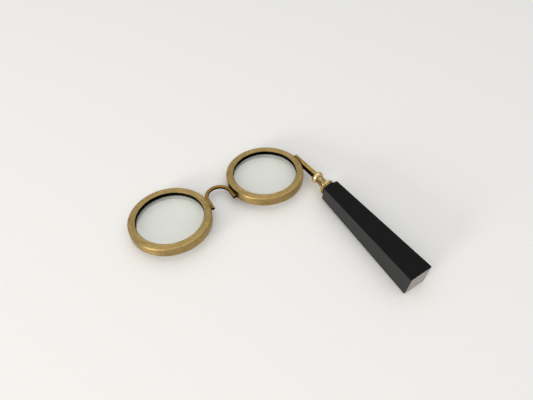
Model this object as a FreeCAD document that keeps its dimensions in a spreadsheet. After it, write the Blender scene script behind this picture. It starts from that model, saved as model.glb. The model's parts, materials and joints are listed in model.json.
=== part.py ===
"""Brass lorgnette magnifier: two framed lenses, a nose bridge and a tapered handle at one side.

All sizes are millimetres.  The pieces are drawn in the plane of the lenses first:
  X runs from the left lens to the right one, Y away from the handle, Z out of the front of the lenses,
  with the origin midway between the two rims, level with their back faces.
The whole frame is then tipped into the pose in which it lies on a table: on the far back edges of both
rims and on the bottom edge of the handle's butt.  The row's origin is the centre of that footprint,
at table height, with +Z up.
"""
import FreeCAD, Part
import math
import os
import re

import Sketcher
from FreeCAD import Placement, Rotation, Vector

doc = FreeCAD.newDocument("lorgnette")

# ---------------------------------------------------------------- driving dimensions

DIMENSIONS = [
    # rims, from the back face (height 0) to the front face
    ("rim_radius", 25.0, "outside of a rim; two inches across"),
    ("rim_height", 5.9, "back face to front face"),
    ("aperture_radius", 20.35, "clear opening of the front lip"),
    ("lip_depth", 2.2, "thickness of the front lip"),
    ("seat_radius", 22.4, "bore behind the lip that takes the lens stack"),
    ("lens_spacing", 67.9, "centre to centre of the lenses"),
    ("front_round", 0.7, "rounding of the rim's outer front edge"),
    ("edge_round", 0.55, "rounding of the rims' back edges and of the handle's edges"),
    ("bore_break", 0.3, "bevel at the mouth of the aperture"),
    ("thread_clearance", 0.05, "radial play of every screw thread"),
    # lens stack, from the lip backwards
    ("spacer_thickness", 0.4, "black ring between lip and lens"),
    ("spacer_inner", 20.5, "inner radius of the spacer and the gasket"),
    ("spacer_outer", 22.3, "outer radius of the spacer and the gasket"),
    ("lens_radius", 22.2, "edge of the glass"),
    ("lens_edge", 1.4, "thickness of the flat edge of the glass"),
    ("lens_zone", 20.4, "radius of the curved part of each face"),
    ("lens_curve", 400.0, "radius of curvature of both faces"),
    ("gasket_thickness", 0.5, "rubber ring behind the lens"),
    ("keeper_thickness", 1.2, "screwed ring that holds the stack"),
    ("notch_width", 1.8, "spanner notch in the screwed ring"),
    ("notch_depth", 0.6, "depth of the spanner notch"),
    # bridge, a bent strip
    ("strip_thickness", 2.2, "in the plane of the lenses"),
    ("strip_height", 1.7, "across the plane of the lenses"),
    ("strip_round", 0.45, "rounding of the strip's long edges"),
    ("bow_radius", 9.0, "outside of the half-round bow"),
    ("bow_shift", 0.1, "centre of the bow, right of the middle"),
    ("bow_ahead", 0.9, "centre of the bow, ahead of the lens line"),
    ("bow_lean", 5.0, "degrees that both legs lean towards the left lens"),
    ("left_leg", 8.5, "straight part of the left leg"),
    ("right_leg", 6.15, "straight part of the right leg"),
    ("foot_spread", 1.2, "extra width of the right leg where it ends against its rim"),
    # side arm, a straight bar
    ("arm_thickness", 3.2, "in the plane of the lenses"),
    ("arm_height", 3.6, "across the plane of the lenses"),
    ("arm_seat", 0.25, "depth that the bar is let into the rim"),
    ("arm_front", 2.8, "end of the bar ahead of the lens line"),
    ("arm_back", 21.6, "end of the bar inside the bead"),
    ("arm_round", 0.45, "rounding of the bar's long edges"),
    # ferrule, turned; distances along its axis from the centre of the bead
    ("bead_centre", 21.9, "centre of the bead behind the lens line"),
    ("droop", 6.2, "degrees that the handle hangs below the plane of the lenses"),
    ("bead_radius", 4.1, "largest radius of the bead"),
    ("bead_end_radius", 2.7, "radius where the bead is cut off at both ends"),
    ("bead_half", 1.9, "half the length of the bead"),
    ("neck_radius", 2.75, "waist behind the bead"),
    ("neck_start", 2.7, "start of the plain waist"),
    ("neck_stop", 3.5, "start of the flare"),
    ("lip_start", 8.9, "front edge of the flare's lip"),
    ("lip_stop", 10.2, "back edge of the flare's lip"),
    ("lip_radius", 5.3, "outside of the flare's lip"),
    ("lip_break", 0.25, "bevel on both edges of the lip"),
    ("flare_curve", 7.2, "radius of the hollow flare"),
    ("collar_radius", 4.8, "plain collar that meets the washer"),
    ("ferrule_end", 11.1, "back face of the ferrule"),
    ("washer_thickness", 0.4, "fibre washer"),
    # screwed joint between the ferrule and the handle
    ("stud_radius", 2.38, "3/16 inch stud"),
    ("stud_in_ferrule", 5.6, "length fixed in the ferrule"),
    ("stud_bevel", 0.4, "bevel at the stud's tip"),
    ("insert_radius", 3.4, "outside of the threaded insert"),
    ("insert_length", 6.35, "six threads of 24 to the inch"),
    ("insert_recess", 0.3, "insert sits below the handle's face"),
    ("well_radius", 2.75, "clear hole beyond the insert"),
    ("well_depth", 17.5, "straight part of the clear hole"),
    ("drill_point", 1.0, "depth of the cone at its bottom"),
    # handle, a square bar that grows towards the butt
    ("handle_length", 77.9, "neck face to butt"),
    ("handle_neck", 10.6, "side of the square at the ferrule"),
    ("handle_butt", 15.6, "side of the square at the butt"),
    ("neck_bevel", 0.9, "bevel round the neck end"),
]

sheet = doc.addObject("Spreadsheet::Sheet", "Dims")
for row, (alias, value, meaning) in enumerate(DIMENSIONS, start=1):
    sheet.set(f"A{row}", alias)
    sheet.set(f"B{row}", str(value))
    sheet.set(f"C{row}", meaning)
    sheet.setAlias(f"B{row}", alias)
doc.recompute()


def size(alias):
    """Value of one driving dimension."""
    return float(getattr(sheet, alias))


def bound(text):
    """Turn an expression in alias names into one that FreeCAD can evaluate."""
    words = {alias for alias, _, _ in DIMENSIONS}
    return re.sub(r"[a-z_]+", lambda word: f"Dims.{word[0]}" if word[0] in words else word[0], text)


# ---------------------------------------------------------------- drawing helpers

def new_body(name):
    body = doc.addObject("PartDesign::Body", name)
    body.Label = name
    return body


def origin_plane(body, role):
    return next(item for item in body.Origin.OriginFeatures if item.Role == role)


def new_sketch(body, plane, name, lift=None):
    """Sketch on one of the body's own origin planes, lifted off it by an expression if one is given."""
    sketch = body.newObject("Sketcher::SketchObject", name)
    sketch.AttachmentSupport = [(origin_plane(body, plane), "")]
    sketch.MapMode = "FlatFace"
    if lift:
        sketch.setExpression("AttachmentOffset.Base.z", bound(lift))
    return sketch


def arc_between(start, end, radius, side):
    """Minor arc from start to end that bulges to the left (side +1) or the right (side -1)."""
    chord = end - start
    left = Vector(-chord.y, chord.x, 0).normalize()
    reach = math.sqrt(max(radius * radius - chord.Length * chord.Length / 4, 0.0))
    centre = (start + end) * 0.5 - left * (side * reach)
    first, last = (end, start) if side > 0 else (start, end)
    low = math.atan2(first.y - centre.y, first.x - centre.x)
    high = math.atan2(last.y - centre.y, last.x - centre.x)
    if high <= low:
        high += 2 * math.pi
    return Part.ArcOfCircle(Part.Circle(centre, Vector(0, 0, 1), radius), low, high)


def closed_outline(sketch, corners, arcs=None):
    """Closed outline through corners given as pairs of expressions.

    arcs maps the number of a corner to (radius expression, side): the edge that leaves it is an arc.
    Every corner's two coordinates and every radius stay bound to the sheet.
    """
    arcs = arcs or {}
    points = [Vector(float(sketch.evalExpression(bound(across))), float(sketch.evalExpression(bound(up))), 0)
              for across, up in corners]
    ends = []
    for number, start in enumerate(points):
        end = points[(number + 1) % len(points)]
        if number in arcs:
            radius_text, side = arcs[number]
            radius = float(sketch.evalExpression(bound(radius_text)))
            sketch.addGeometry(arc_between(start, end, radius, side))
            ends.append((2, 1) if side > 0 else (1, 2))
        else:
            sketch.addGeometry(Part.LineSegment(start, end))
            ends.append((1, 2))
    for number in range(len(points)):
        following = (number + 1) % len(points)
        sketch.addConstraint(Sketcher.Constraint("Coincident", number, ends[number][1],
                                                 following, ends[following][0]))
    for number, (across, up) in enumerate(corners):
        vertex = ends[number][0]
        point = points[number]
        for kind, text, value in (("DistanceX", across, point.x), ("DistanceY", up, point.y)):
            index = sketch.addConstraint(Sketcher.Constraint(kind, -1, 1, number, vertex, value))
            sketch.setExpression(f"Constraints[{index}]", bound(text))
    for number, (radius_text, _) in arcs.items():
        radius = float(sketch.evalExpression(bound(radius_text)))
        chord = (points[(number + 1) % len(points)] - points[number]).Length
        if chord > 1.999 * radius:
            # a half circle between two corners at one height: its centre is held at that height
            text = corners[number][1]
            held = Sketcher.Constraint("DistanceY", -1, 1, number, 3, points[number].y)
            index = sketch.addConstraint(held)
        else:
            text = radius_text
            index = sketch.addConstraint(Sketcher.Constraint("Radius", number, radius))
        sketch.setExpression(f"Constraints[{index}]", bound(text))


def turned(body, name, corners, arcs=None, feature="Revolution"):
    """Revolve an outline drawn as (radius, height) round the body's Z axis; a Groove takes it away."""
    sketch = new_sketch(body, "XZ_Plane", f"{name}_outline")
    closed_outline(sketch, corners, arcs)
    turning = body.newObject(f"PartDesign::{feature}", name)
    turning.Profile = sketch
    turning.ReferenceAxis = (sketch, ["V_Axis"])
    turning.Angle = 360
    doc.recompute()
    return turning


def padded(body, name, sketch, length):
    pad = body.newObject("PartDesign::Pad", name)
    pad.Profile = sketch
    pad.setExpression("Length", bound(length))
    doc.recompute()
    return pad


def rectangle(sketch, left, bottom, right, top):
    closed_outline(sketch, [(left, bottom), (right, bottom), (right, top), (left, top)])


def cut_away(body, name, sketch, length, reverse=False):
    """Pocket that must take material away."""
    before = body.Shape.Volume
    pocket = body.newObject("PartDesign::Pocket", name)
    pocket.Profile = sketch
    pocket.setExpression("Length", bound(length))
    pocket.Reversed = reverse
    doc.recompute()
    if body.Shape.Volume > before - 1e-6:
        raise RuntimeError(f"{name} cuts nothing")
    return pocket


def edges_where(feature, test):
    """Names of the edges of a feature that pass a test on their two end points and middle."""
    names = []
    for number, edge in enumerate(feature.Shape.Edges, start=1):
        middle = edge.valueAt((edge.FirstParameter + edge.LastParameter) / 2)
        ends = [vertex.Point for vertex in edge.Vertexes]
        if test(middle, ends):
            names.append(f"Edge{number}")
    return names


def dressed(body, kind, name, feature, edges, amount):
    """Fillet or Chamfer on named edges, sized from the sheet."""
    if not edges:
        raise RuntimeError(f"{name} found no edges")
    dress = body.newObject(f"PartDesign::{kind}", name)
    dress.Base = (feature, edges)
    dress.setExpression("Radius" if kind == "Fillet" else "Size", bound(amount))
    doc.recompute()
    return dress


# ---------------------------------------------------------------- one framed lens

# heights of the lens stack above the back face of the rim
SPACER_TOP = "rim_height - lip_depth"
LENS_TOP = SPACER_TOP + " - spacer_thickness"
LENS_BOTTOM = LENS_TOP + " - lens_edge"
KEEPER_TOP = LENS_BOTTOM + " - gasket_thickness"
KEEPER_BOTTOM = KEEPER_TOP + " - keeper_thickness"


def add_rim(name):
    """Turned brass rim, before the brazed pieces are let into it."""
    rim = new_body(name)
    ring = turned(rim, f"{name}_ring", [
        ("aperture_radius", SPACER_TOP),
        ("seat_radius", SPACER_TOP),
        ("seat_radius", "0"),
        ("rim_radius", "0"),
        ("rim_radius", "rim_height"),
        ("aperture_radius", "rim_height"),
    ])
    outer = size("rim_radius")

    def on_outer_wall(height):
        return lambda middle, ends: (abs(math.hypot(middle.x, middle.y) - outer) < 0.02
                                     and abs(middle.z - height) < 0.02)

    front = dressed(rim, "Fillet", f"{name}_front_edge", ring,
                    edges_where(ring, on_outer_wall(size("rim_height"))), "front_round")
    back = dressed(rim, "Fillet", f"{name}_back_edge", front,
                   edges_where(front, on_outer_wall(0.0)), "edge_round")
    aperture = size("aperture_radius")
    mouth = edges_where(back, lambda middle, ends: abs(math.hypot(middle.x, middle.y) - aperture) < 0.02
                        and abs(middle.z - size("rim_height")) < 0.02)
    dressed(rim, "Chamfer", f"{name}_mouth", back, mouth, "bore_break")
    return rim


def add_flat_ring(name, inner, outer, bottom, top):
    """Plain washer-shaped ring between two heights."""
    body = new_body(name)
    turned(body, f"{name}_ring", [(inner, bottom), (outer, bottom), (outer, top), (inner, top)])
    return body


def add_lens(name):
    """Weak double-convex magnifying lens with a ground flat edge."""
    lens = new_body(name)
    bulge = "(lens_curve - sqrt(lens_curve * lens_curve - lens_zone * lens_zone))"
    turned(lens, f"{name}_glass", [
        ("0", f"{LENS_BOTTOM} - {bulge}"),
        ("lens_zone", LENS_BOTTOM),
        ("lens_radius", LENS_BOTTOM),
        ("lens_radius", LENS_TOP),
        ("lens_zone", LENS_TOP),
        ("0", f"{LENS_TOP} + {bulge}"),
    ], {0: ("lens_curve", -1), 4: ("lens_curve", -1)})
    return lens


def add_keeper(name):
    """Screwed ring behind the lens, with two notches for a pin spanner."""
    outside = "seat_radius - thread_clearance"
    keeper = add_flat_ring(name, "aperture_radius", outside, KEEPER_BOTTOM, KEEPER_TOP)
    sketch = new_sketch(keeper, "XY_Plane", f"{name}_notches_outline", KEEPER_BOTTOM)
    rectangle(sketch, "-rim_radius", "-notch_width / 2", "rim_radius", "notch_width / 2")
    cut_away(keeper, f"{name}_notches", sketch, "notch_depth", True)
    return keeper


def add_packing(name, bottom, top):
    """Soft ring of the lens stack: the spacer in front of the glass, or the gasket behind it."""
    return add_flat_ring(name, "spacer_inner", "spacer_outer", bottom, top)


lens_groups = {}
for side_name, side in (("left", -1), ("right", 1)):
    lens_groups[side] = {
        "rim": add_rim(f"{side_name}_rim_blank"),
        "spacer": add_packing(f"{side_name}_spacer", LENS_TOP, SPACER_TOP),
        "lens": add_lens(f"{side_name}_lens"),
        "gasket": add_packing(f"{side_name}_gasket", KEEPER_TOP, LENS_BOTTOM),
        "keeper": add_keeper(f"{side_name}_retaining_ring"),
    }


# ---------------------------------------------------------------- nose bridge and side arm

def add_nose_bridge():
    """Strip bent by hand to an inverted U, drawn about the centre of its bow.

    The left leg is straight; the right one spreads at its foot to fill the gap to its rim.
    """
    bridge = new_body("nose_bridge")
    sketch = new_sketch(bridge, "XY_Plane", "bridge_outline", "rim_height / 2 - strip_height / 2")
    inner = "(bow_radius - strip_thickness)"
    closed_outline(sketch, [
        ("-bow_radius", "-left_leg"),
        ("-bow_radius", "0"),
        ("bow_radius", "0"),
        ("bow_radius + foot_spread", "-right_leg"),
        (inner, "-right_leg"),
        (inner, "0"),
        (f"-{inner}", "0"),
        (f"-{inner}", "-left_leg"),
    ], {1: ("bow_radius", 1), 5: (inner, -1)})
    bow = padded(bridge, "bridge_bow", sketch, "strip_height")
    low = size("rim_height") / 2 - size("strip_height") / 2
    high = low + size("strip_height")

    def runs_along_strip(middle, ends):
        on_a_face = abs(middle.z - low) < 0.01 or abs(middle.z - high) < 0.01
        return on_a_face and max(point.y for point in ends) > -0.01

    dressed(bridge, "Fillet", "bridge_edges", bow, edges_where(bow, runs_along_strip), "strip_round")
    return bridge


def add_side_arm():
    """Straight bar against the outer side of the right rim, running back into the bead."""
    arm = new_body("side_arm")
    sketch = new_sketch(arm, "XY_Plane", "arm_outline", "rim_height / 2 - arm_height / 2")
    inner = "lens_spacing / 2 + rim_radius - arm_seat"
    rectangle(sketch, inner, "-arm_back", f"{inner} + arm_thickness", "arm_front")
    bar = padded(arm, "arm_bar", sketch, "arm_height")
    along = edges_where(bar, lambda middle, ends: abs(ends[0].y - ends[-1].y) > 1)
    dressed(arm, "Fillet", "arm_edges", bar, along, "arm_round")
    return arm


# ---------------------------------------------------------------- ferrule, stud, washer and handle

def add_ferrule_turning():
    """Turned brass: bead, waist, hollow flare with a lip, and a collar, bored for the stud."""
    turning = new_body("ferrule_turning")
    rise = "(bead_radius - bead_end_radius)"
    bead_curve = f"((bead_half * bead_half + {rise} * {rise}) / (2 * {rise}))"
    turned(turning, "ferrule_profile", [
        ("0", "-bead_half"),
        ("bead_end_radius", "-bead_half"),
        ("bead_end_radius", "bead_half"),
        ("neck_radius", "neck_start"),
        ("neck_radius", "neck_stop"),
        ("lip_radius - lip_break", "lip_start"),
        ("lip_radius", "lip_start + lip_break"),
        ("lip_radius", "lip_stop - lip_break"),
        ("lip_radius - lip_break", "lip_stop"),
        ("collar_radius", "lip_stop"),
        ("collar_radius", "ferrule_end"),
        ("stud_radius", "ferrule_end"),
        ("stud_radius", "ferrule_end - stud_in_ferrule"),
        ("0", "ferrule_end - stud_in_ferrule"),
    ], {1: (bead_curve, -1), 4: ("flare_curve", 1)})
    return turning


def add_stud():
    """Threaded stud, fixed in the ferrule; its tip is level with the end of the handle's insert."""
    stud = new_body("handle_stud")
    foot = "ferrule_end - stud_in_ferrule"
    tip = "ferrule_end + washer_thickness + insert_recess + insert_length"
    turned(stud, "stud_shank", [
        ("0", foot),
        ("stud_radius", foot),
        ("stud_radius", f"{tip} - stud_bevel"),
        ("stud_radius - stud_bevel", tip),
        ("0", tip),
    ])
    return stud


def add_handle():
    """Tapered square bar, bored for the insert, with a bevelled neck and rounded edges."""
    handle = new_body("handle")
    outline = new_sketch(handle, "XY_Plane", "handle_neck_outline")
    rectangle(outline, "-handle_neck / 2", "-handle_neck / 2", "handle_neck / 2", "handle_neck / 2")
    taper = padded(handle, "handle_taper", outline, "handle_length")
    taper.setExpression("TaperAngle", bound("atan((handle_butt - handle_neck) / (2 * handle_length))"))
    doc.recompute()
    bevel = dressed(handle, "Chamfer", "handle_neck_bevel", taper,
                    edges_where(taper, lambda middle, ends: abs(middle.z) < 0.01), "neck_bevel")
    butt = size("handle_length")
    rounded = edges_where(bevel, lambda middle, ends: abs(middle.z - butt) < 0.01
                          or abs(ends[0].z - ends[-1].z) > butt / 2)
    dressed(handle, "Fillet", "handle_edges", bevel, rounded, "edge_round")
    turned(handle, "handle_bore", [
        ("0", "0"),
        ("insert_radius", "0"),
        ("insert_radius", "insert_recess + insert_length"),
        ("well_radius", "insert_recess + insert_length"),
        ("well_radius", "well_depth"),
        ("0", "well_depth + drill_point"),
    ], feature="Groove")
    return handle


bridge = add_nose_bridge()
arm = add_side_arm()
ferrule_turning = add_ferrule_turning()
stud = add_stud()
washer = add_flat_ring("handle_washer", "stud_radius + thread_clearance", "collar_radius",
                       "ferrule_end", "ferrule_end + washer_thickness")
insert = add_flat_ring("handle_insert", "stud_radius + thread_clearance", "insert_radius",
                       "insert_recess", "insert_recess + insert_length")
handle = add_handle()


def let_in(name, base, tool):
    """Cut a piece to the exact shape of the one that is brazed to it, as the two lie in the assembly."""
    cut = doc.addObject("Part::Cut", name)
    cut.Base = base
    cut.Tool = tool
    cut.Label = name
    return cut


ferrule = let_in("ferrule", ferrule_turning, arm)
left_rim = let_in("left_rim", lens_groups[-1]["rim"], bridge)
right_rim_at_bridge = let_in("right_rim_at_bridge", lens_groups[1]["rim"], bridge)
right_rim = let_in("right_rim", right_rim_at_bridge, arm)


# ---------------------------------------------------------------- assembly and resting pose

def mid_height():
    return size("rim_height") / 2


def arm_line():
    """X of the middle of the side arm, which is also that of the handle's axis."""
    return size("lens_spacing") / 2 + size("rim_radius") - size("arm_seat") + size("arm_thickness") / 2


ACROSS = Vector(1, 0, 0)
UPWARD = Vector(0, 0, 1)

# local +Z of the turned pieces runs from the bead towards the butt, hanging by the droop angle
along_axis = Placement(Vector(arm_line(), -size("bead_centre"), mid_height()),
                       Rotation(ACROSS, 90 + size("droop")))
face_station = size("ferrule_end") + size("washer_thickness")
handle_face = along_axis.multiply(Placement(Vector(0, 0, face_station), Rotation()))
at_bow = Placement(Vector(size("bow_shift"), size("bow_ahead"), 0), Rotation(UPWARD, -size("bow_lean")))

placed = [(bridge, at_bow), (arm, Placement()), (ferrule_turning, along_axis), (stud, along_axis),
          (washer, along_axis), (insert, handle_face), (handle, handle_face)]
for side, group in lens_groups.items():
    at_lens = Placement(Vector(side * size("lens_spacing") / 2, 0, 0), Rotation())
    placed += [(piece, at_lens) for piece in group.values()]


def resting_tilt():
    """Angle about X that brings the rims' far back edges and the butt's lower edge level.

    Both edges are rounded to the same radius, so the two centres of rounding end at one height.
    """
    radius = size("edge_round")
    rim_edge = Vector(0, size("rim_radius") - radius, radius)
    slope = math.atan((size("handle_butt") - size("handle_neck")) / 2 / size("handle_length"))
    station = size("handle_length") - radius
    half_side = size("handle_neck") / 2 + station * math.tan(slope) - radius / math.cos(slope)
    butt_edge = handle_face.multVec(Vector(0, -half_side, station))
    return math.degrees(math.atan2(rim_edge.z - butt_edge.z, rim_edge.y - butt_edge.y))


tipped = Placement(Vector(), Rotation(ACROSS, -resting_tilt()))
for piece, place in placed:
    piece.Placement = tipped.multiply(place)
doc.recompute()

PIECES = [bridge, arm, ferrule, stud, washer, insert, handle, left_rim, right_rim]
for group in lens_groups.values():
    PIECES += [group[role] for role in ("spacer", "lens", "gasket", "keeper")]

# slide the footprint's centre to the origin and the lowest point to the table
whole = FreeCAD.BoundBox()
for piece in PIECES:
    whole.add(piece.Shape.optimalBoundingBox(False))
footing = Placement(Vector(-whole.Center.x, -whole.Center.y, -whole.ZMin), Rotation())
for piece, _ in placed:
    piece.Placement = footing.multiply(piece.Placement)
doc.recompute()


# ---------------------------------------------------------------- checks and files

for item in doc.Objects:
    if "Invalid" in item.State or "Error" in item.State:
        raise RuntimeError(f"{item.Name}: {item.State}")
for piece in PIECES:
    if piece.Shape.isNull() or not piece.Shape.isValid() or len(piece.Shape.Solids) != 1:
        raise RuntimeError(f"{piece.Label} is not one valid solid")

os.makedirs("parts", exist_ok=True)
for piece in PIECES:
    piece.Shape.exportStep(os.path.join("parts", f"{piece.Label}.step"))

resting = footing.multiply(tipped)
print(f"tilt {resting_tilt():.7f} degrees, origin moved by {tuple(round(v, 5) for v in footing.Base)}")
print(f"size {whole.XLength:.2f} x {whole.YLength:.2f} x {whole.ZLength:.2f}")
for title, point in (("left lens", Vector(-size("lens_spacing") / 2, 0, 0)),
                     ("right lens", Vector(size("lens_spacing") / 2, 0, 0)),
                     ("bead", along_axis.Base), ("handle face", handle_face.Base)):
    print(title, tuple(round(v, 3) for v in resting.multVec(point)))
for title, place in (("lens normal", resting), ("handle axis", resting.multiply(along_axis))):
    print(title, tuple(round(v, 5) for v in place.Rotation.multVec(UPWARD)))
for piece in PIECES:
    print(piece.Label, "volume", round(piece.Shape.Volume, 2))
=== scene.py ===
"""Looks of the brass lorgnette magnifier, built round its CAD parts.

Everything is in metres, in the frame of the CAD model.  Each part keeps its CAD shape and gets a node
material that knows where it is on the part: turning lines follow each rim, and the black finish stays in
the recesses.  Painted shadow darkens the gaps by brazed joints, painted shade darkens faces that the light
misses (the rim walls, the outer edge of the bow and the outer half of the arm's top), and painted light
lightens the handle's side faces.
"""

import json
import math

import bpy
from mathutils import Matrix, Vector


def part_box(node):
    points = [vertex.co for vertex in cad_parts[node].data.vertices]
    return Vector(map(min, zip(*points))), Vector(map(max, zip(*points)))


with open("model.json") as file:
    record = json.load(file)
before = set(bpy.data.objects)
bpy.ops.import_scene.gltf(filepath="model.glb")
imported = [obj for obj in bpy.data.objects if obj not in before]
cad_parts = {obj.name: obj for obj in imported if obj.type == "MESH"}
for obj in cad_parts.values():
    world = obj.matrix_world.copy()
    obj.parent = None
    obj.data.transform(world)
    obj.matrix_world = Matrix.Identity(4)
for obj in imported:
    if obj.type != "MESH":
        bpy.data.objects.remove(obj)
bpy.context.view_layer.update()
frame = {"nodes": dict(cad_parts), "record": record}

MM = 0.001
MOUNTS = {mount["name"]: mount for mount in frame["record"]["mounts"]}


def middle(node):
    low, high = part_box(node)
    return (low + high) / 2


# ---------------------------------------------------------------- places worked out from the frame

LENS_NORMAL = -Vector(MOUNTS["left_back_face"]["axis"]).normalized()
LENS_TILT = math.atan2(LENS_NORMAL.y, LENS_NORMAL.z)
LENS_CENTRE = {"left": middle("left_lens"), "right": middle("right_lens")}
BRIDGE_CENTRE = (LENS_CENTRE["left"] + LENS_CENTRE["right"]) / 2
BUTT = Vector(MOUNTS["butt_face"]["pos_m"])
HANDLE_AXIS = Vector(MOUNTS["butt_face"]["axis"]).normalized()
HANDLE_TILT = math.atan2(-HANDLE_AXIS.z, -HANDLE_AXIS.y)

# sizes that the materials follow, as in the CAD parts
RIM_RADIUS = 25.0 * MM
APERTURE = 20.35 * MM
LENS_MIDDLE_TO_FRONT = 3.3 * MM
BOW_CENTRE = BRIDGE_CENTRE + Vector((0.1 * MM, 0.9 * MM, 0.0))
BOW_LEAN = math.radians(-5.0)
BOW_OUTER = 9.0 * MM
BOW_INNER = 6.8 * MM
LEFT_LEG = 8.5 * MM
RIGHT_LEG = 6.15 * MM
ARM_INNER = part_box("side_arm")[0].x
ARM_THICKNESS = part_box("side_arm")[1].x - ARM_INNER
WAIST_RADIUS = 2.8 * MM
FLARE_RADIUS = 5.05 * MM
BUTT_HALF = 7.8 * MM
HANDLE_SLOPE = 0.0321


# ---------------------------------------------------------------- a small helper for node materials

class Shader:
    """One material and short ways to add and link its nodes."""

    def __init__(self, name):
        self.material = bpy.data.materials.new(name)
        self.material.use_nodes = True
        self.tree = self.material.node_tree
        self.tree.nodes.clear()
        self.output = self.tree.nodes.new("ShaderNodeOutputMaterial")

    def node(self, kind, **settings):
        made = self.tree.nodes.new(kind)
        for key, value in settings.items():
            setattr(made, key, value)
        return made

    def feed(self, socket, value):
        """Link a socket to another one, or set it to a plain value."""
        if isinstance(value, bpy.types.NodeSocket):
            self.tree.links.new(value, socket)
        elif value is not None:
            socket.default_value = value

    def math(self, operation, first, second=None, clamp=False):
        made = self.node("ShaderNodeMath", operation=operation, use_clamp=clamp)
        self.feed(made.inputs[0], first)
        self.feed(made.inputs[1], second)
        return made.outputs[0]

    def times(self, first, second):
        return self.math("MULTIPLY", first, second)

    def plus(self, first, second, clamp=False):
        return self.math("ADD", first, second, clamp)

    def larger(self, first, second):
        return self.math("MAXIMUM", first, second)

    def vector(self, operation, first):
        made = self.node("ShaderNodeVectorMath", operation=operation)
        self.feed(made.inputs[0], first)
        return made.outputs["Value" if operation == "LENGTH" else "Vector"]

    def split(self, vector):
        made = self.node("ShaderNodeSeparateXYZ")
        self.feed(made.inputs[0], vector)
        return made.outputs[0], made.outputs[1], made.outputs[2]

    def join(self, x, y, z):
        made = self.node("ShaderNodeCombineXYZ")
        for socket, value in zip(made.inputs, (x, y, z)):
            self.feed(socket, value)
        return made.outputs[0]

    def turned_back(self, vector, centre, rotation):
        """A vector as seen from axes that stand at centre and are turned by rotation."""
        mapping = self.node("ShaderNodeMapping", vector_type="TEXTURE")
        self.feed(mapping.inputs["Vector"], vector)
        self.feed(mapping.inputs["Location"], tuple(centre))
        self.feed(mapping.inputs["Rotation"], rotation)
        return mapping.outputs[0]

    def place(self, centre, tilt, lean=0.0):
        """Coordinates along a part: their origin at centre, turned about X by tilt, then about Z by lean."""
        coordinates = self.node("ShaderNodeTexCoord").outputs["Object"]
        local = self.turned_back(coordinates, centre, (tilt, 0, 0))
        return self.turned_back(local, (0, 0, 0), (0, 0, lean)) if lean else local

    def map_range(self, value, limits, **settings):
        """Carry value over from one range to another; limits are from low, from high, to low, to high."""
        made = self.node("ShaderNodeMapRange", **settings)
        self.feed(made.inputs["Value"], value)
        for socket, limit in zip(("From Min", "From Max", "To Min", "To Max"), limits):
            self.feed(made.inputs[socket], limit)
        return made.outputs[0]

    def step(self, value, low, high):
        """0 below low, 1 above high, smooth between; the other way round if low is the larger."""
        limits = (low, high, 0.0, 1.0) if low < high else (high, low, 1.0, 0.0)
        return self.map_range(value, limits, interpolation_type="SMOOTHSTEP")

    def spread(self, noise, low, high):
        """Stretch the middle of a noise value, where nearly all of it lies, over low to high."""
        return self.map_range(noise, (*NOISE_MIDDLE, low, high))

    def noise(self, vector, scale, detail, roughness, distortion=0.0):
        made = self.node("ShaderNodeTexNoise")
        self.feed(made.inputs["Vector"], vector)
        self.feed(made.inputs["Scale"], scale)
        self.feed(made.inputs["Detail"], detail)
        self.feed(made.inputs["Roughness"], roughness)
        self.feed(made.inputs["Distortion"], distortion)
        return made.outputs["Fac"]

    def mix(self, factor, first, second):
        """Blend two colours."""
        made = self.node("ShaderNodeMix", data_type="RGBA")
        self.feed(made.inputs["Factor"], factor)
        self.feed(made.inputs[MIX_COLOUR_A], first)
        self.feed(made.inputs[MIX_COLOUR_B], second)
        return made.outputs[MIX_COLOUR_RESULT]

    def bump(self, height, distance):
        made = self.node("ShaderNodeBump")
        self.feed(made.inputs["Height"], height)
        self.feed(made.inputs["Distance"], distance)
        self.feed(made.inputs["Strength"], 1.0)
        return made.outputs[0]

    def principled(self, **sockets):
        made = self.node("ShaderNodeBsdfPrincipled")
        for key, value in sockets.items():
            self.feed(made.inputs[key.replace("_", " ")], value)
        return made.outputs[0]

    def finish(self, surface):
        self.feed(self.output.inputs["Surface"], surface)
        return self.material


NOISE_MIDDLE = (0.3, 0.7)
# where the Mix node keeps its colour sockets
MIX_COLOUR_A, MIX_COLOUR_B, MIX_COLOUR_RESULT = 6, 7, 2


def colour(red, green, blue):
    """Linear colour from display values of 0 to 255."""
    def linear(value):
        value /= 255
        return value / 12.92 if value <= 0.04045 else ((value + 0.055) / 1.055) ** 2.4
    return (linear(red), linear(green), linear(blue), 1.0)


BRASS_BRIGHT = colour(226, 200, 144)
BRASS_MID = colour(196, 167, 111)
BRASS_BROWN = colour(108, 80, 38)
BRASS_OLIVE = colour(138, 120, 66)
BRASS_WARM = colour(206, 164, 92)
BRASS_GOLDEN = colour(202, 146, 56)
BRASS_COPPERY = colour(178, 118, 48)
OLIVE_GOLD = colour(158, 130, 52)
AGED_GOLD = colour(122, 94, 32)
YELLOW_BRASS = colour(228, 196, 112)
PALE_BRASS = colour(242, 226, 180)
# black finish; the same black is painted as shadow in the gaps by brazed joints
BLACK_AND_SHADE_TONE = colour(12, 9, 8)
RING_BRIGHT = colour(214, 213, 210)
RING_DULL = colour(186, 184, 180)
STEEL_BRIGHT = colour(176, 176, 174)
STEEL_DULL = colour(120, 116, 110)
SPACER_BLACK = colour(10, 10, 10)
GASKET_PALE = colour(206, 206, 203)
WASHER_BROWN = colour(22, 19, 17)
HANDLE_BLACK = colour(10, 10, 11)
HANDLE_SHEEN = colour(23, 20, 19)
HANDLE_CLOUD = colour(12, 12, 14)
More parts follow.
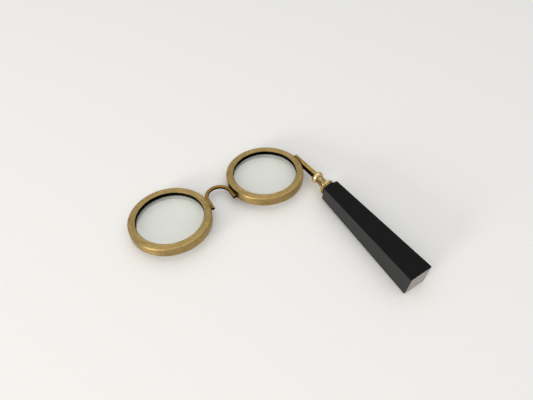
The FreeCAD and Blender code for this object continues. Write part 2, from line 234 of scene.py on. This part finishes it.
# lighter grey painted on the handle's side faces, as painted light
HANDLE_SIDE_PAINTED_LIGHT = colour(50, 50, 50)
BUTT_PALE = colour(186, 182, 172)
BUTT_GREY = colour(146, 140, 134)
FLOOR_LOW = colour(234, 233, 228)
FLOOR_HIGH = colour(237, 236, 232)
GLASS_BODY = (0.985, 0.998, 0.97, 1.0)
GLASS_PASSING = (0.985, 0.995, 0.98, 1.0)
CROWN_GLASS_IOR = 1.52


# ---------------------------------------------------------------- grain

def grain_noise(shader, wide, thin):
    """The wide grain and the thin grain, from coordinates already stretched along the lines."""
    return (shader.noise(wide, 1.0, detail=3.0, roughness=0.6),
            shader.noise(thin, 1.0, detail=2.0, roughness=0.6))


def turned_grain(shader, local, coarse=900.0, fine=5200.0):
    """Lines left by turning: constant round the part's own axis Z, changing along its profile.

    Gives the distance from the axis, the wide grain and the thin grain.
    """
    wide_around, thin_around = 2.2, 5.0
    x, y, z = shader.split(local)
    flat = shader.join(x, y, 0.0)
    radius = shader.vector("LENGTH", flat)
    around_x, around_y, _ = shader.split(shader.vector("NORMALIZE", flat))
    profile = shader.math("SUBTRACT", radius, z)
    wide = shader.join(shader.times(around_x, wide_around), shader.times(around_y, wide_around),
                       shader.times(profile, coarse))
    thin = shader.join(shader.times(around_x, thin_around), shader.times(around_y, thin_around),
                       shader.times(profile, fine))
    return radius, *grain_noise(shader, wide, thin)


def straight_grain(shader, local):
    """Lines drawn along Y of a bar: the wide grain and the thin grain."""
    across, along = 900.0, 60.0
    thin_across, thin_along = across * 6, along * 5
    x, y, z = shader.split(local)
    wide = shader.join(shader.times(x, across), shader.times(y, along), shader.times(z, across))
    thin = shader.join(shader.times(x, thin_across), shader.times(y, thin_along),
                       shader.times(z, thin_across))
    return grain_noise(shader, wide, thin)


# ---------------------------------------------------------------- brass

# waves of noise in a metre
CLOUD_SCALE = 190.0
FLECK_SCALE = 1300.0
PATCH_SCALE = 560.0
JOINT_EDGE_SCALE = 620.0

# how much of each darkening a piece wears: none at 0, all at 1; the rim walls take age and painted shade, the
# bow's outer edge and the arm's outer half take painted shade
RIM_WALL_SHADE_AND_AGE = 0.30
BOW_AGE = 0.22
BOW_EDGE_SHADE = 0.58
LEG_OLIVE = 0.45
ARM_OUTER_SHADE = 0.45
WAIST_AGE = 0.50
BEFORE_LIP_AGE = 0.75

# how far the black finish and the painted shadow of the joint gaps reach on the rims, in Y from the middle of
# the lens
BLACK_AHEAD_OF_BRIDGE = 4.0 * MM
BLACK_BY_ARM = (-13.0 * MM, 3.4 * MM)


def brass(shader, local, grain, black_and_shade_mask, polish=0.0, age_and_shade=0.0, tones=(BRASS_BRIGHT, BRASS_MID),
          patina_and_shade=BRASS_BROWN, turned_about=None):
    """Antique brass: warm metal, darkened by age in cloudy patches and along the grain.

    grain is the pair of wide and thin grain.  The black mask and the ageing mask are 0 to 1 masks, or plain
    numbers; the black mask lays on the black finish and also painted shadow in gaps by joints, and the ageing
    mask lays on the darker tone of age and also painted shade on faces that the light misses.  polish makes
    the metal smoother and cleaner.  turned_about names the axis of a turned piece, whose highlights spread
    across its turning lines.
    """
    wide, thin = grain
    clouds = shader.noise(local, CLOUD_SCALE, detail=4.0, roughness=0.65, distortion=0.6)
    flecks = shader.noise(local, FLECK_SCALE, detail=3.0, roughness=0.7)
    patches = shader.noise(local, PATCH_SCALE, detail=3.0, roughness=0.6, distortion=0.4)
    mottled = 0.46 - 0.30 * polish
    streaked = 0.48 - 0.28 * polish
    spotted = 0.60 - 0.30 * polish
    base = shader.mix(shader.spread(clouds, 0.0, 1.0), *tones)
    base = shader.mix(mottled, base, shader.mix(shader.step(patches, 0.40, 0.60), BRASS_OLIVE, BRASS_WARM))
    base = shader.mix(shader.times(shader.spread(wide, 0.0, 1.0), streaked), base, BRASS_OLIVE)
    base = shader.mix(shader.times(shader.step(flecks, 0.56, 0.72), spotted), base, BRASS_BROWN)
    base = shader.mix(age_and_shade, base, patina_and_shade)
    base = shader.mix(black_and_shade_mask, base, BLACK_AND_SHADE_TONE)

    smoothest, roughest = 0.34 - 0.16 * polish, 0.46 - 0.22 * polish
    rough = shader.plus(shader.spread(thin, smoothest, roughest), shader.times(black_and_shade_mask, 0.3), clamp=True)
    height = shader.plus(shader.times(thin, 0.6), shader.times(wide, 0.9))
    height = shader.plus(height, shader.times(flecks, 0.5))
    depth = (0.085 - 0.07 * polish) * MM
    across_lines = {}
    if turned_about:
        tangent = shader.node("ShaderNodeTangent", direction_type="RADIAL", axis=turned_about)
        across_lines = {"Anisotropic": 0.65, "Anisotropic_Rotation": 0.25, "Tangent": tangent.outputs[0]}
    return shader.finish(shader.principled(
        Base_Color=base, Metallic=1.0, Roughness=rough, Normal=shader.bump(height, depth), **across_lines))


def joint_black_and_shade(shader, local, side, back, front):
    """1 on the stretch of a rim's outer wall that faces a brazed piece, fading with ragged edges: black
    finish there, and painted shadow of the narrow gap between the piece and the wall.

    side is 1 for a piece on the rim's +X side and -1 on its -X side; back and front are its ends in Y.
    Every edge runs from where the black starts to where it is full.
    """
    x, y, z = shader.split(local)
    facing = shader.step(shader.times(x, side), 21.0 * MM, 22.0 * MM)
    ahead = shader.step(y, front + 4.5 * MM, front - 3.0 * MM)
    behind = shader.step(y, back - 3.5 * MM, back + 1.5 * MM)
    below_front = shader.step(z, LENS_MIDDLE_TO_FRONT - 0.12 * MM, LENS_MIDDLE_TO_FRONT - 0.36 * MM)
    above_back = shader.step(z, -2.8 * MM, 0.2 * MM)
    length = shader.times(ahead, behind)
    height = shader.times(below_front, above_back)
    stretch = shader.times(shader.times(facing, height), length)
    joint_edge_noise = shader.noise(local, JOINT_EDGE_SCALE, detail=3.0, roughness=0.6)
    ragged = shader.times(shader.spread(joint_edge_noise, -1.0, 1.0), 0.30)
    return shader.step(shader.plus(stretch, ragged), 0.12, 0.80)


def rim_material(side):
    """Turned rim: lines round the lens axis, black in its bore, black finish and painted shadow where other
    pieces are brazed on, and an outer wall darkened by age and by painted shade.
    """
    shader = Shader(f"{side}_rim_brass")
    local = shader.place(LENS_CENTRE[side], -LENS_TILT)
    radius, *grain = turned_grain(shader, local)
    black_and_shade_mask = shader.step(radius, APERTURE + 0.30 * MM, APERTURE + 0.12 * MM)
    to_bridge = 1.0 if side == "left" else -1.0
    foot = BOW_CENTRE.y - BRIDGE_CENTRE.y - (LEFT_LEG if side == "left" else RIGHT_LEG)
    # black finish and painted shadow in the gap between the bridge's foot and the rim's wall
    black_and_shade_mask = shader.larger(black_and_shade_mask, joint_black_and_shade(shader, local, to_bridge, foot, BLACK_AHEAD_OF_BRIDGE))
    # on the right rim, black finish and painted shadow also in the gap between the arm and the rim's wall
    if side == "right":
        black_and_shade_mask = shader.larger(black_and_shade_mask, joint_black_and_shade(shader, local, 1.0, *BLACK_BY_ARM))
    # the outer wall is darker than the top: age, and painted shade on a wall that the light misses
    wall = shader.step(radius, RIM_RADIUS - 0.5 * MM, RIM_RADIUS - 0.1 * MM)
    return brass(shader, local, grain, black_and_shade_mask, age_and_shade=shader.times(wall, RIM_WALL_SHADE_AND_AGE), turned_about="Z")


def bridge_material():
    """Bent strip: coppery bow with painted shade along its outer edge, so that it looks rounded, olive legs,
    black inside and on the cut ends.
    """
    shader = Shader("bridge_brass")
    local = shader.place(BOW_CENTRE, -LENS_TILT, BOW_LEAN)
    x, y, z = shader.split(local)
    ahead = shader.larger(y, 0.0)
    reach = shader.vector("LENGTH", shader.join(x, ahead, 0.0))
    inside = shader.step(reach, BOW_INNER + 0.26 * MM, BOW_INNER + 0.06 * MM)
    # painted shade along the bow's outer edge, so that the flat strip looks rounded
    outside = shader.step(reach, BOW_OUTER - 0.75 * MM, BOW_OUTER - 0.20 * MM)
    on_left = shader.step(x, 1.0 * MM, -1.0 * MM)
    leg = shader.plus(shader.times(on_left, LEFT_LEG - RIGHT_LEG), RIGHT_LEG)
    cut_end = shader.step(shader.plus(y, leg), 0.10 * MM, 0.02 * MM)
    on_leg = shader.times(shader.step(y, 0.5 * MM, -2.0 * MM), LEG_OLIVE)
    tones = (shader.mix(on_leg, BRASS_GOLDEN, OLIVE_GOLD), shader.mix(on_leg, BRASS_COPPERY, OLIVE_GOLD))
    return brass(shader, local, straight_grain(shader, shader.join(reach, y, z)),
                 shader.larger(inside, cut_end), polish=0.3,
                 age_and_shade=shader.plus(shader.times(outside, BOW_EDGE_SHADE), BOW_AGE), tones=tones)


def arm_material():
    """Flat bar: bright along the inner half of its top, painted olive shade on the outer half so that the top
    looks rounded, black on the face by the rim, and black finish with painted shadow in the gap by the rim's
    wall.
    """
    shader = Shader("arm_brass")
    local = shader.place(BRIDGE_CENTRE, -LENS_TILT)
    x, _, _ = shader.split(local)
    edge = ARM_INNER - BRIDGE_CENTRE.x
    side_face = shader.step(x, edge + 0.50 * MM, edge + 0.25 * MM)
    # black finish and painted shadow in the narrow gap between the bar and the right rim's wall
    rim_x, rim_y, _ = shader.split(shader.place(LENS_CENTRE["right"], -LENS_TILT))
    reach = shader.vector("LENGTH", shader.join(rim_x, rim_y, 0.0))
    gap_black_and_shade = shader.step(reach, RIM_RADIUS + 1.35 * MM, RIM_RADIUS + 0.95 * MM)
    # painted shade on the outer half of the top, so that the flat top looks rounded
    outer_half = shader.step(x, edge + ARM_THICKNESS * 0.50, edge + ARM_THICKNESS * 0.75)
    return brass(shader, local, straight_grain(shader, local), shader.larger(side_face, gap_black_and_shade),
                 polish=0.7, age_and_shade=shader.times(outer_half, ARM_OUTER_SHADE),
                 tones=(YELLOW_BRASS, BRASS_GOLDEN), patina_and_shade=BRASS_OLIVE)


def turned_fitting_material():
    """Polished turning of the ferrule and the insert, darkened by age in its waist and in the line before the
    lip.
    """
    shader = Shader("ferrule_brass")
    local = shader.place(BUTT, HANDLE_TILT + math.pi / 2)
    radius, *grain = turned_grain(shader, local, coarse=600.0, fine=4200.0)
    waist = shader.times(shader.step(radius, WAIST_RADIUS + 0.60 * MM, WAIST_RADIUS), WAIST_AGE)
    before_lip = shader.times(shader.step(radius, FLARE_RADIUS - 0.45 * MM, FLARE_RADIUS - 0.20 * MM),
                              shader.step(radius, FLARE_RADIUS + 0.01 * MM, FLARE_RADIUS - 0.07 * MM))
    age_and_shade = shader.larger(waist, shader.times(before_lip, BEFORE_LIP_AGE))
    return brass(shader, local, grain, 0.0, polish=1.0, age_and_shade=age_and_shade, tones=(PALE_BRASS, YELLOW_BRASS),
                 patina_and_shade=AGED_GOLD, turned_about="Y")


# ---------------------------------------------------------------- other materials

def ring_material(side):
    """Retaining ring: bright turned metal, pale where it shows through the glass."""
    shader = Shader(f"{side}_retaining_ring_metal")
    _, wide, thin = turned_grain(shader, shader.place(LENS_CENTRE[side], -LENS_TILT))
    base = shader.mix(shader.spread(wide, 0.0, 1.0), RING_BRIGHT, RING_DULL)
    return shader.finish(shader.principled(
        Base_Color=base, Metallic=0.75, Roughness=shader.spread(thin, 0.38, 0.55),
        Normal=shader.bump(thin, 0.01 * MM)))


def steel_material():
    """Bright turned steel of the stud."""
    shader = Shader("stud_steel")
    _, wide, thin = turned_grain(shader, shader.place(BUTT, HANDLE_TILT + math.pi / 2))
    base = shader.mix(shader.spread(wide, 0.0, 0.6), STEEL_BRIGHT, STEEL_DULL)
    return shader.finish(shader.principled(
        Base_Color=base, Metallic=1.0, Roughness=shader.spread(thin, 0.28, 0.42),
        Normal=shader.bump(thin, 0.01 * MM)))


def handle_material():
    """Black polished handle with faint lengthwise streaks, and a pale butt face.

    Y runs from the butt face into the handle.
    """
    shader = Shader("black_handle")
    local = shader.place(BUTT, HANDLE_TILT)
    x, y, z = shader.split(local)
    lengthwise = shader.join(x, shader.times(y, 0.07), z)
    streaks = shader.noise(lengthwise, 900.0, detail=4.0, roughness=0.6)
    clouds = shader.noise(local, 140.0, detail=3.0, roughness=0.5)
    base = shader.mix(shader.spread(streaks, 0.0, 0.8), HANDLE_BLACK, HANDLE_SHEEN)
    base = shader.mix(shader.times(shader.spread(clouds, 0.0, 1.0), 0.5), base, HANDLE_CLOUD)

    # the two side faces are painted greyer than the top and the bottom, as painted light on the faces that
    # catch it, and stay dark along their long edges
    across = shader.math("ABSOLUTE", x)
    upward = shader.math("ABSOLUTE", z)
    flank = shader.step(shader.math("SUBTRACT", across, upward), 0.0, 0.5 * MM)
    half_side = shader.math("SUBTRACT", BUTT_HALF, shader.times(y, HANDLE_SLOPE))
    from_edge = shader.math("SUBTRACT", half_side, shader.math("MINIMUM", across, upward))
    flank = shader.times(flank, shader.step(from_edge, 0.5 * MM, 1.2 * MM))
    base = shader.mix(shader.times(flank, 0.8), base, HANDLE_SIDE_PAINTED_LIGHT)

    # the butt face is pale within its black edges
    end_face = shader.step(y, 0.12 * MM, 0.03 * MM)
    within_edges = shader.step(shader.larger(across, upward), BUTT_HALF - 0.50 * MM, BUTT_HALF - 0.75 * MM)
    pale_end = shader.times(end_face, within_edges)
    grain = shader.noise(local, 1100.0, detail=4.0, roughness=0.7)
    base = shader.mix(pale_end, base, shader.mix(shader.spread(grain, 0.0, 1.0), BUTT_PALE, BUTT_GREY))

    wave = shader.noise(local, 320.0, detail=2.0, roughness=0.4)
    rough = shader.plus(shader.spread(streaks, 0.16, 0.28), shader.times(pale_end, 0.5), clamp=True)
    height = shader.plus(shader.times(wave, 0.6), shader.times(streaks, 0.2))
    height = shader.plus(height, shader.times(grain, shader.times(pale_end, 2.0)))
    return shader.finish(shader.principled(
        Base_Color=base, Roughness=rough, Normal=shader.bump(height, 0.014 * MM), Specular_IOR_Level=0.09))


def glass_material():
    """Clear lens glass with a faint grey-green body; lamps and scattered light shine through it."""
    shader = Shader("lens_glass")
    surface = shader.principled(Base_Color=GLASS_BODY, Roughness=0.0, IOR=CROWN_GLASS_IOR,
                                Transmission_Weight=1.0)
    clear = shader.node("ShaderNodeBsdfTransparent")
    shader.feed(clear.inputs["Color"], GLASS_PASSING)
    path = shader.node("ShaderNodeLightPath").outputs
    for passing in ("Is Diffuse Ray", "Is Shadow Ray"):
        blend = shader.node("ShaderNodeMixShader")
        shader.feed(blend.inputs[0], path[passing])
        shader.feed(blend.inputs[1], surface)
        shader.feed(blend.inputs[2], clear.outputs[0])
        surface = blend.outputs[0]
    return shader.finish(surface)


def plain_grain(name, tint, roughness, grain_scale):
    """Matt ring of one tint, with fine grain in its colour, gloss and surface."""
    shader = Shader(name)
    coordinates = shader.node("ShaderNodeTexCoord").outputs["Object"]
    grain = shader.noise(coordinates, grain_scale, detail=3.0, roughness=0.6)
    dark = tuple(channel * 0.7 for channel in tint[:3]) + (1.0,)
    base = shader.mix(shader.spread(grain, 0.0, 1.0), dark, tint)
    rough = shader.spread(grain, roughness - 0.06, roughness + 0.06)
    return shader.finish(shader.principled(
        Base_Color=base, Roughness=rough, Normal=shader.bump(grain, 0.01 * MM), Specular_IOR_Level=0.3))


def floor_material():
    shader = Shader("pale_floor")
    coordinates = shader.node("ShaderNodeTexCoord").outputs["Object"]
    grain = shader.noise(coordinates, 700.0, detail=2.0, roughness=0.5)
    base = shader.mix(shader.spread(grain, 0.0, 1.0), FLOOR_LOW, FLOOR_HIGH)
    return shader.finish(shader.principled(Base_Color=base, Roughness=0.7))


# ---------------------------------------------------------------- dressing the CAD parts

def dress(node, material):
    """Give a CAD node its material."""
    for slot in frame["nodes"][node].material_slots:
        slot.link = "OBJECT"
        slot.material = material


for side in ("left", "right"):
    dress(f"{side}_rim", rim_material(side))
    dress(f"{side}_lens", glass_material())
    dress(f"{side}_spacer", plain_grain(f"{side}_spacer_black", SPACER_BLACK, 0.6, 1500.0))
    dress(f"{side}_gasket", plain_grain(f"{side}_gasket_silicone", GASKET_PALE, 0.55, 2500.0))
    dress(f"{side}_retaining_ring", ring_material(side))
dress("nose_bridge", bridge_material())
dress("side_arm", arm_material())
dress("ferrule", turned_fitting_material())
dress("handle", handle_material())
dress("handle_washer", plain_grain("washer_fibre", WASHER_BROWN, 0.8, 3000.0))
dress("handle_stud", steel_material())
dress("handle_insert", turned_fitting_material())


# ---------------------------------------------------------------- floor, light and camera

FLOOR_HALF = 3.0

SKY_TINT = (0.99, 0.99, 1.0)
SKY_AT_HORIZON = 0.30
SKY_OVERHEAD = 1.37

LAMP_TINT = (1.0, 0.985, 0.96)
LAMP_AIM = Vector((0.0, 0.02, 0.0))
# name: place, width and height, watts
LAMPS = {
    "window": ((-1.0, -0.30, 0.72), (1.3, 0.9), 3.2),
    "low_window": ((-1.63, -0.32, 0.34), (0.5, 0.36), 17.0),
}

VIEW_AZIMUTH = math.radians(-36.03)
VIEW_ELEVATION = math.radians(50.98)
VIEW_ROLL = math.radians(2.69)
VIEW_DISTANCE = 0.29269
AIM_FROM_RIGHT_LENS = Vector((-0.00820, -0.01436))
LENS_MM = 30.87
SENSOR_MM = 36.0


def add_floor():
    mesh = bpy.data.meshes.new("floor")
    corners = [(x * FLOOR_HALF, y * FLOOR_HALF, 0) for x, y in ((-1, -1), (1, -1), (1, 1), (-1, 1))]
    mesh.from_pydata(corners, [], [(0, 1, 2, 3)])
    floor = bpy.data.objects.new("floor", mesh)
    bpy.context.scene.collection.objects.link(floor)
    floor.data.materials.append(floor_material())


def add_area_light(name, place, size, power):
    data = bpy.data.lights.new(name, "AREA")
    data.shape = "RECTANGLE"
    data.size, data.size_y = size
    data.energy = power
    data.color = LAMP_TINT
    lamp = bpy.data.objects.new(name, data)
    lamp.location = place
    lamp.rotation_euler = (LAMP_AIM - Vector(place)).to_track_quat("-Z", "Y").to_euler()
    bpy.context.scene.collection.objects.link(lamp)


def add_sky():
    """Soft light all round, growing with the square of height from the horizon to straight above."""
    world = bpy.data.worlds.new("studio")
    world.use_nodes = True
    nodes = world.node_tree.nodes
    links = world.node_tree.links
    background = nodes["Background"]
    background.inputs["Color"].default_value = (*SKY_TINT, 1.0)
    direction = nodes.new("ShaderNodeTexCoord")
    parts = nodes.new("ShaderNodeSeparateXYZ")
    rise = nodes.new("ShaderNodeMath")
    rise.operation = "POWER"
    rise.inputs[1].default_value = 2.0
    rise.use_clamp = True
    ramp = nodes.new("ShaderNodeMapRange")
    ramp.inputs["To Min"].default_value = SKY_AT_HORIZON
    ramp.inputs["To Max"].default_value = SKY_OVERHEAD
    links.new(direction.outputs["Generated"], parts.inputs[0])
    links.new(parts.outputs["Z"], rise.inputs[0])
    links.new(rise.outputs[0], ramp.inputs["Value"])
    links.new(ramp.outputs[0], background.inputs["Strength"])
    bpy.context.scene.world = world


def add_camera():
    """Camera that looks down on the object over the left lens, towards the right one."""
    aim = Vector((*(LENS_CENTRE["right"].xy + AIM_FROM_RIGHT_LENS), 0))
    forward = Vector((-math.sin(VIEW_AZIMUTH) * math.cos(VIEW_ELEVATION),
                      math.cos(VIEW_AZIMUTH) * math.cos(VIEW_ELEVATION), -math.sin(VIEW_ELEVATION)))
    level = forward.cross(Vector((0, 0, 1))).normalized()
    right = Matrix.Rotation(-VIEW_ROLL, 3, forward) @ level
    up = right.cross(forward)
    data = bpy.data.cameras.new("camera")
    data.sensor_width = SENSOR_MM
    data.lens = LENS_MM
    data.clip_start = 0.01
    camera = bpy.data.objects.new("camera", data)
    turn = Matrix((right, up, -forward)).transposed().to_4x4()
    camera.matrix_world = Matrix.Translation(aim - forward * VIEW_DISTANCE) @ turn
    bpy.context.scene.collection.objects.link(camera)
    bpy.context.scene.camera = camera


add_floor()
add_sky()
for name, (place, size, power) in LAMPS.items():
    add_area_light(name, place, size, power)
add_camera()
bpy.context.scene.view_settings.view_transform = "Standard"
